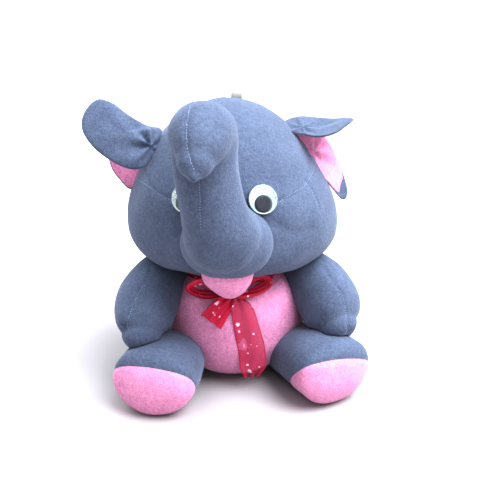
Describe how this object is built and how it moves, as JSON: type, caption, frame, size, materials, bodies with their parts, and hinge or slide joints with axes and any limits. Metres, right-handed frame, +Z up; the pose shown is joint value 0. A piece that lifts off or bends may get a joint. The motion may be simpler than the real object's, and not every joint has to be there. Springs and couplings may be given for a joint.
{
  "type": "stuffed elephant",
  "caption": "Sitting plush elephant with a raised trunk, folded ears, moving-pupil eyes, pale belly and soles, and a sheer ribbon bow.",
  "frame": {"origin": "centre of the flat seat patch under the torso", "axes": "+Z up out of the seat, the toy faces -Y, +X is its right-hand side as seen from the front"},
  "size_m": [0.2388, 0.255, 0.271],
  "materials": {
    "plush_grey": "short plush pile",
    "plush_pink": "short plush pile",
    "stuffing": "polyester fibre filling",
    "ribbon_organza": "sheer woven ribbon",
    "loop_tape": "satin tape",
    "eye_white": "gloss",
    "eye_clear": "clear gloss",
    "eye_black": "gloss",
    "washer_plastic": "matte"
  },
  "bodies": {
    "torso": {"body_back_skin": "plush_grey", "belly_panel": "plush_pink", "body_stuffing": "stuffing", "ribbon_neckband": "ribbon_organza", "ribbon_knot": "ribbon_organza", "ribbon_loop_left": "ribbon_organza", "ribbon_loop_right": "ribbon_organza"},
    "neck": {"neck_stuffing": "stuffing"},
    "head": {"head_forehead_skin": "plush_grey", "head_cheek_skin": "plush_grey", "head_stuffing": "stuffing", "chin_lip": "plush_pink", "eye_left_cup": "eye_white", "eye_left_dome": "eye_clear", "eye_left_washer": "washer_plastic", "eye_right_cup": "eye_white", "eye_right_dome": "eye_clear", "eye_right_washer": "washer_plastic"},
    "arm_left": {"arm_left_skin": "plush_grey", "arm_left_stuffing": "stuffing"},
    "arm_right": {"arm_right_skin": "plush_grey", "arm_right_stuffing": "stuffing"},
    "leg_left": {"leg_left_skin": "plush_grey", "leg_left_sole": "plush_pink", "leg_left_stuffing": "stuffing"},
    "leg_right": {"leg_right_skin": "plush_grey", "leg_right_sole": "plush_pink", "leg_right_stuffing": "stuffing"},
    "trunk": {"trunk_base_skin": "plush_grey", "trunk_base_stuffing": "stuffing"},
    "trunk_tip": {"trunk_tip_skin": "plush_grey", "trunk_tip_stuffing": "stuffing"},
    "ear_left": {"ear_left_outer": "plush_grey", "ear_left_lining": "plush_pink"},
    "ear_right": {"ear_right_outer": "plush_grey", "ear_right_lining": "plush_pink"},
    "pupil_left": {"eye_left_pupil": "eye_black"},
    "pupil_right": {"eye_right_pupil": "eye_black"},
    "tail": {"tail": "plush_grey"},
    "hang_loop": {"hang_loop": "loop_tape"},
    "ribbon_tail_long": {"ribbon_tail_long": "ribbon_organza"},
    "ribbon_tail_short": {"ribbon_tail_short": "ribbon_organza"}
  },
  "joints": [
    {"name": "neck_turn", "type": "hinge", "parent": "torso", "child": "neck", "pos_m": [0, 0, 0.12], "axis": [0, 0, 1], "range_deg": [-20, 20], "stiffness_Nm_per_rad": 0.3},
    {"name": "head_nod", "type": "hinge", "parent": "neck", "child": "head", "pos_m": [0, 0, 0.12], "axis": [-0.9877, 0.1564, 0], "range_deg": [0, 9], "stiffness_Nm_per_rad": 0.6},
    {"name": "arm_left_swing", "type": "hinge", "parent": "torso", "child": "arm_left", "pos_m": [-0.062, -0.008, 0.084], "axis": [-1, 0, 0], "range_deg": [0, 24], "stiffness_Nm_per_rad": 0.08},
    {"name": "arm_right_swing", "type": "hinge", "parent": "torso", "child": "arm_right", "pos_m": [0.062, -0.008, 0.084], "axis": [-1, 0, 0], "range_deg": [0, 24], "stiffness_Nm_per_rad": 0.08},
    {"name": "leg_left_splay", "type": "hinge", "parent": "torso", "child": "leg_left", "pos_m": [-0.046, -0.032, 0.0335], "axis": [0, 0, -1], "range_deg": [-6, 6], "stiffness_Nm_per_rad": 0.1},
    {"name": "leg_right_splay", "type": "hinge", "parent": "torso", "child": "leg_right", "pos_m": [0.046, -0.032, 0.0335], "axis": [0, 0, 1], "range_deg": [-6, 6], "stiffness_Nm_per_rad": 0.1},
    {"name": "trunk_bend", "type": "hinge", "parent": "head", "child": "trunk", "pos_m": [-0.01345, -0.08494, 0.156], "axis": [0.9877, -0.1564, 0], "range_deg": [-3, 18], "stiffness_Nm_per_rad": 0.15},
    {"name": "trunk_curl", "type": "hinge", "parent": "trunk", "child": "trunk_tip", "pos_m": [-0.03067, -0.11056, 0.246], "axis": [0.9877, -0.1564, 0], "range_deg": [-10, 12], "stiffness_Nm_per_rad": 0.05},
    {"name": "ear_left_flap", "type": "hinge", "parent": "head", "child": "ear_left", "pos_m": [-0.066, -0.002, 0.232], "axis": [-0.4822, 0.0933, -0.8711], "range_deg": [-15, 5], "stiffness_Nm_per_rad": 0.03},
    {"name": "ear_right_flap", "type": "hinge", "parent": "head", "child": "ear_right", "pos_m": [0.063, 0, 0.231], "axis": [0.4747, -0.0279, -0.8797], "range_deg": [-15, 15], "stiffness_Nm_per_rad": 0.03},
    {"name": "pupil_left_roll", "type": "slide", "parent": "head", "child": "pupil_left", "axis": [0.1645, 0.2915, 0.9423], "range_m": [0, 0.0072]},
    {"name": "pupil_right_roll", "type": "slide", "parent": "head", "child": "pupil_right", "axis": [-0.0663, 0.328, 0.9423], "range_m": [0, 0.0072]},
    {"name": "tail_swing", "type": "hinge", "parent": "torso", "child": "tail", "pos_m": [0, 0.0646, 0.024], "axis": [0, 0, 1], "range_deg": [-30, 30], "stiffness_Nm_per_rad": 0.005},
    {"name": "hang_loop_fold", "type": "hinge", "parent": "head", "child": "hang_loop", "pos_m": [0.006, 0.02, 0.255], "axis": [0.9397, -0.342, 0], "range_deg": [-30, 9], "stiffness_Nm_per_rad": 0.002},
    {"name": "ribbon_tail_long_swing", "type": "hinge", "parent": "torso", "child": "ribbon_tail_long", "pos_m": [0.01, -0.058, 0.09], "axis": [-1, 0, 0], "range_deg": [0, 60]},
    {"name": "ribbon_tail_short_swing", "type": "hinge", "parent": "torso", "child": "ribbon_tail_short", "pos_m": [-0.016, -0.058, 0.09], "axis": [-1, 0, 0], "range_deg": [0, 60]}
  ]
}
